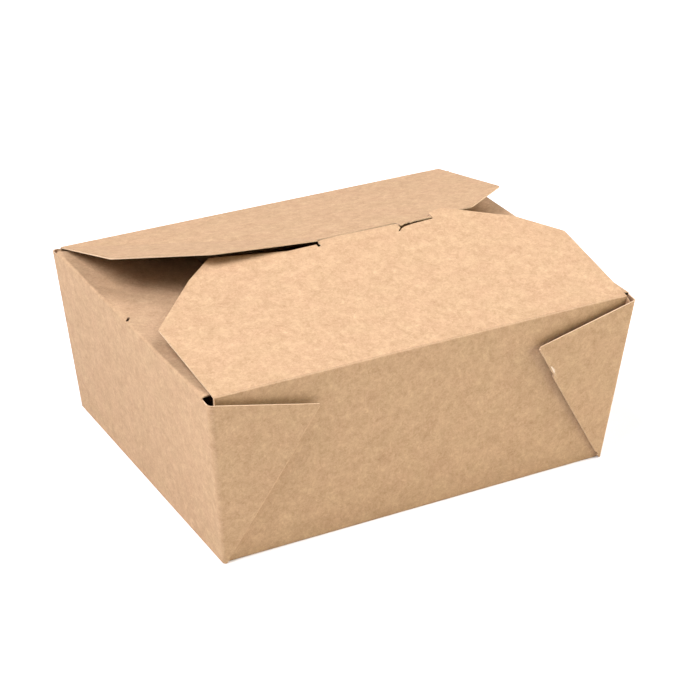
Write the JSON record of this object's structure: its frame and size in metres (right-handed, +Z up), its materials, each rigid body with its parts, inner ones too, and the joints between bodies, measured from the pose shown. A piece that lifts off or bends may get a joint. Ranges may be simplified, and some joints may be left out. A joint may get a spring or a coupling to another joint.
{
  "type": "takeaway box",
  "caption": "Closed kraft paperboard takeaway food box: a flared folded tray with triangular corner webs and long lid flaps that interlock along a low ridge.",
  "frame": {"origin": "centre of the base's underside, on the surface that the box stands on", "axes": "+X along the long side, +Y from the front wall to the back wall, +Z up"},
  "size_m": [0.1678, 0.134, 0.0829],
  "materials": {
    "kraft_board": "uncoated kraft, matt"
  },
  "bodies": {
    "tray": {"tray": "kraft_board"},
    "front_flap": {"front_flap": "kraft_board"},
    "back_flap": {"back_flap": "kraft_board"}
  },
  "joints": [
    {"name": "front_flap_crease", "type": "hinge", "parent": "tray", "child": "front_flap", "pos_m": [0, -0.06427, 0.066], "axis": [1, 0, 0], "range_deg": [0, 170]},
    {"name": "back_flap_crease", "type": "hinge", "parent": "tray", "child": "back_flap", "pos_m": [0, 0.06427, 0.066], "axis": [-1, 0, 0], "range_deg": [0, 170]}
  ],
  "couplings": [
    {"joint": "back_flap_crease", "follows": "front_flap_crease", "ratio": 1}
  ]
}
